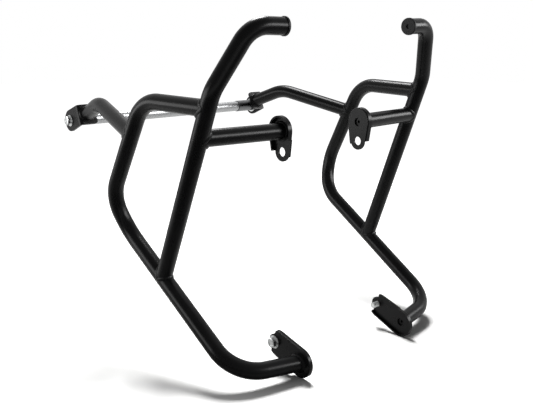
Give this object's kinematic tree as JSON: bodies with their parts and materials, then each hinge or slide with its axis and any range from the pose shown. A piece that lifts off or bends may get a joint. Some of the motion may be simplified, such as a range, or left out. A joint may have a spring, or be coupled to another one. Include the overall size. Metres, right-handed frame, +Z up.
{
  "type": "motorcycle crash bars",
  "caption": "Pair of welded tube crash bars with pressed mounting brackets, joined behind the engine by a cross tube and a long through bolt.",
  "frame": {"origin": "middle of the rear cross tube, on the axis of the through bolt", "axes": "+X along the through bolt to the bike's left, +Y to the bike's rear, +Z up"},
  "size_m": [0.5544, 0.5782, 0.5643],
  "materials": {
    "powder_coat": "satin black powder coat",
    "zinc_plate": "bright zinc plate",
    "bare_steel": "drawn bare steel",
    "cap_plastic": "moulded black plastic"
  },
  "bodies": {
    "root": {"left_hoop_tube": "powder_coat", "left_upright_tube": "powder_coat", "left_stub_tube": "powder_coat", "left_rear_arm": "powder_coat", "left_middle_bracket": "powder_coat", "left_lower_bracket": "powder_coat", "left_rear_bracket": "powder_coat", "left_end_cap": "cap_plastic", "left_stub_end_disc": "powder_coat", "left_hoop_end_disc": "powder_coat", "left_lower_bolt": "zinc_plate", "right_hoop_tube": "powder_coat", "right_upright_tube": "powder_coat", "right_stub_tube": "powder_coat", "right_rear_arm": "powder_coat", "right_middle_bracket": "powder_coat", "right_lower_bracket": "powder_coat", "right_rear_bracket": "powder_coat", "right_end_cap": "cap_plastic", "right_stub_end_disc": "powder_coat", "right_hoop_end_disc": "powder_coat", "right_lower_bolt": "zinc_plate", "cross_tube": "bare_steel", "cross_sleeve": "bare_steel", "sleeve_washer": "zinc_plate", "nut_washer": "zinc_plate", "through_bolt": "zinc_plate", "through_nut": "zinc_plate"}
  },
  "joints": []
}
